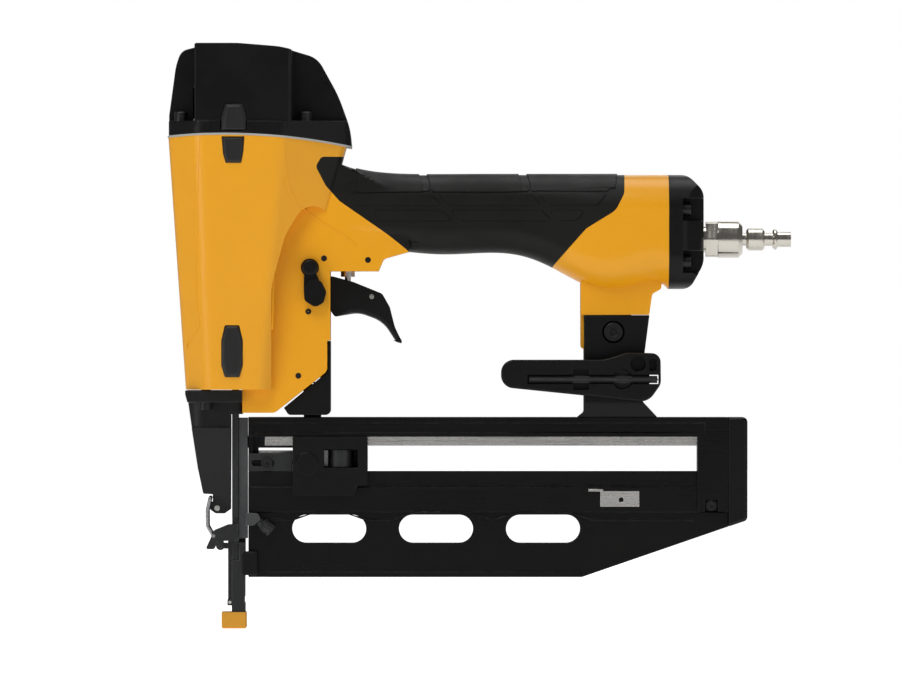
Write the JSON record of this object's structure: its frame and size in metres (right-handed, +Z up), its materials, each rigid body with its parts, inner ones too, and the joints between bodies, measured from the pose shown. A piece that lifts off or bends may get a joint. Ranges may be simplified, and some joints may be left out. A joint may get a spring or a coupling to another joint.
{
  "type": "pneumatic finish nail gun",
  "caption": "Yellow and black pneumatic finish nailer with a straight nail magazine, belt hook and air plug.",
  "frame": {"origin": "point on the work where the nail goes in, on the drive axis at the underside of the soft nose pad", "axes": "+Z up the drive axis to the cylinder cap, +X back along the handle to the air plug, +Y to the far side, away from the mode selector"},
  "size_m": [0.3111, 0.0668, 0.2917],
  "materials": {
    "air_filter": "mesh",
    "air_plug": "nickel",
    "belt_hook": "satin",
    "bracket_bolt": "black oxide",
    "cap_gasket": "matte",
    "cap_screws": "black oxide",
    "contact_spring": "bright",
    "cylinder_cap": "semi-gloss",
    "cylinder_sleeve": "bored",
    "depth_screw": "dark",
    "driver_blade": "ground",
    "end_cap": "satin",
    "end_cap_screws": "black oxide",
    "grip_sleeve": "matte",
    "head_valve": "matte",
    "head_valve_spring": "bright",
    "hex_key": "black oxide",
    "hook_screw": "black oxide",
    "housing": "semi-gloss",
    "jam_door": "dark",
    "latch_bail": "bright",
    "latch_lever": "black",
    "link_guard": "satin",
    "magazine_bracket": "satin",
    "magazine_frame": "black anodised",
    "magazine_front_plate": "black",
    "magazine_rear_cap": "satin",
    "magazine_screws": "black oxide",
    "magazine_wall_far": "black anodised",
    "magazine_wall_near": "black anodised",
    "mode_knob": "satin",
    "mode_selector": "satin",
    "nail_catch": "bright",
    "nail_strip_rail": "bright",
    "nose_body": "black coated",
    "nose_core": "dark",
    "nose_pad": "matte",
    "nose_pins": "bright",
    "nose_plate": "grey",
    "nose_screws": "black oxide",
    "piston": "turned",
    "piston_bumper": "matte",
    "piston_ring": "matte",
    "pusher": "satin",
    "pusher_blade": "bright",
    "pusher_coil": "bright",
    "pusher_spring": "bright",
    "rocker_pin": "bright",
    "roll_pins": "dark",
    "side_bumpers": "matte",
    "sleeve_seals": "matte",
    "swivel_base": "nickel",
    "trigger": "satin",
    "trigger_pivot_pin": "bright",
    "trigger_rocker": "zinc",
    "trigger_valve_body": "nickel",
    "trigger_valve_spring": "bright",
    "trigger_valve_stem": "bright",
    "work_contact": "dark"
  },
  "bodies": {
    "tool": {"air_filter": "air_filter", "bracket_bolt": "bracket_bolt", "cap_gasket": "cap_gasket", "cap_screws": "cap_screws", "contact_spring": "contact_spring", "cylinder_cap": "cylinder_cap", "cylinder_sleeve": "cylinder_sleeve", "end_cap": "end_cap", "end_cap_screws": "end_cap_screws", "grip_sleeve": "grip_sleeve", "head_valve_spring": "head_valve_spring", "hook_screw": "hook_screw", "housing": "housing", "link_guard": "link_guard", "magazine_bracket": "magazine_bracket", "magazine_frame": "magazine_frame", "magazine_front_plate": "magazine_front_plate", "magazine_rear_cap": "magazine_rear_cap", "magazine_screws": "magazine_screws", "magazine_wall_far": "magazine_wall_far", "magazine_wall_near": "magazine_wall_near", "nail_catch": "nail_catch", "nail_strip_rail": "nail_strip_rail", "nose_body": "nose_body", "nose_core": "nose_core", "nose_pins": "nose_pins", "nose_plate": "nose_plate", "nose_screws": "nose_screws", "piston_bumper": "piston_bumper", "pusher_spring": "pusher_spring", "roll_pins": "roll_pins", "side_bumpers": "side_bumpers", "sleeve_seals": "sleeve_seals", "swivel_base": "swivel_base", "trigger_pivot_pin": "trigger_pivot_pin", "trigger_valve_body": "trigger_valve_body", "trigger_valve_spring": "trigger_valve_spring"},
    "piston": {"piston": "piston", "piston_ring": "piston_ring", "driver_blade": "driver_blade"},
    "head_valve": {"head_valve": "head_valve"},
    "trigger": {"trigger": "trigger", "rocker_pin": "rocker_pin"},
    "rocker": {"trigger_rocker": "trigger_rocker"},
    "valve_stem": {"trigger_valve_stem": "trigger_valve_stem"},
    "selector": {"mode_selector": "mode_selector"},
    "knob": {"mode_knob": "mode_knob"},
    "contact": {"work_contact": "work_contact"},
    "pad": {"nose_pad": "nose_pad"},
    "door": {"jam_door": "jam_door"},
    "latch": {"latch_lever": "latch_lever"},
    "bail": {"latch_bail": "latch_bail"},
    "depth_screw": {"depth_screw": "depth_screw"},
    "pusher": {"pusher": "pusher", "pusher_blade": "pusher_blade", "pusher_coil": "pusher_coil"},
    "hook": {"belt_hook": "belt_hook"},
    "key": {"hex_key": "hex_key"},
    "plug": {"air_plug": "air_plug"}
  },
  "joints": [
    {"name": "piston_stroke", "type": "slide", "parent": "tool", "child": "piston", "axis": [0, 0, -1], "range_m": [0, 0.083]},
    {"name": "head_valve_lift", "type": "slide", "parent": "tool", "child": "head_valve", "axis": [0, 0, 1], "range_m": [0, 0.004], "stiffness_N_per_m": 500, "springref_m": -0.01, "deforming": ["head_valve_spring"]},
    {"name": "trigger_pull", "type": "hinge", "parent": "tool", "child": "trigger", "pos_m": [0.0402, 0, 0.1675], "axis": [0, -1, 0], "range_deg": [0, 8], "stiffness_Nm_per_rad": 0.5, "springref_deg": -17.19},
    {"name": "rocker_tilt", "type": "hinge", "parent": "trigger", "child": "rocker", "pos_m": [0.0684, 0, 0.1656], "axis": [0, 1, 0], "range_deg": [0, 9.6]},
    {"name": "stem_lift", "type": "slide", "parent": "tool", "child": "valve_stem", "axis": [0, 0, 1], "range_m": [0, 0.0024], "deforming": ["trigger_valve_spring"]},
    {"name": "selector_turn", "type": "hinge", "parent": "tool", "child": "selector", "pos_m": [0.0402, -0.02, 0.1675], "axis": [0, 1, 0], "range_deg": [0, 90]},
    {"name": "knob_pull", "type": "slide", "parent": "selector", "child": "knob", "axis": [0, -1, 0], "range_m": [0, 0.0025], "stiffness_N_per_m": 200, "springref_m": -0.005},
    {"name": "contact_slide", "type": "slide", "parent": "tool", "child": "contact", "axis": [0, 0, 1], "range_m": [0, 0.0075], "stiffness_N_per_m": 300, "springref_m": -0.01, "deforming": ["contact_spring"]},
    {"name": "pad_pull_off", "type": "slide", "parent": "contact", "child": "pad", "axis": [0, 0, -1], "range_m": [0, 0.009]},
    {"name": "door_swing", "type": "hinge", "parent": "tool", "child": "door", "pos_m": [-0.00245, 0, 0.013], "axis": [0, 1, 0], "range_deg": [-60, 0]},
    {"name": "latch_swing", "type": "hinge", "parent": "door", "child": "latch", "pos_m": [-0.0072, 0, 0.0412], "axis": [0, 1, 0], "range_deg": [-80, 0]},
    {"name": "bail_swing", "type": "hinge", "parent": "latch", "child": "bail", "pos_m": [-0.0106, 0, 0.0462], "axis": [0, 1, 0], "range_deg": [-87, 0]},
    {"name": "depth_turn", "type": "hinge", "parent": "tool", "child": "depth_screw", "pos_m": [0.0094, -0.0098, 0.056], "axis": [0.766, 0, -0.6428], "continuous": true},
    {"name": "pusher_slide", "type": "slide", "parent": "tool", "child": "pusher", "axis": [1, 0, 0], "range_m": [0, 0.155], "stiffness_N_per_m": 20, "springref_m": -0.3, "deforming": ["pusher_spring"]},
    {"name": "hook_swing", "type": "hinge", "parent": "tool", "child": "hook", "pos_m": [0.1934, -0.02, 0.1244], "axis": [0, 1, 0], "range_deg": [-170, 30]},
    {"name": "key_pull", "type": "slide", "parent": "hook", "child": "key", "axis": [0, -1, 0], "range_m": [0, 0.016]},
    {"name": "plug_turn", "type": "hinge", "parent": "tool", "child": "plug", "pos_m": [0.25, 0, 0.1943], "axis": [1, 0, 0], "continuous": true}
  ],
  "couplings": [
    {"joint": "rocker_tilt", "follows": "contact_slide", "rad_per_m": 22.33},
    {"joint": "stem_lift", "follows": "trigger_pull", "m_per_rad": 0.016473}
  ]
}
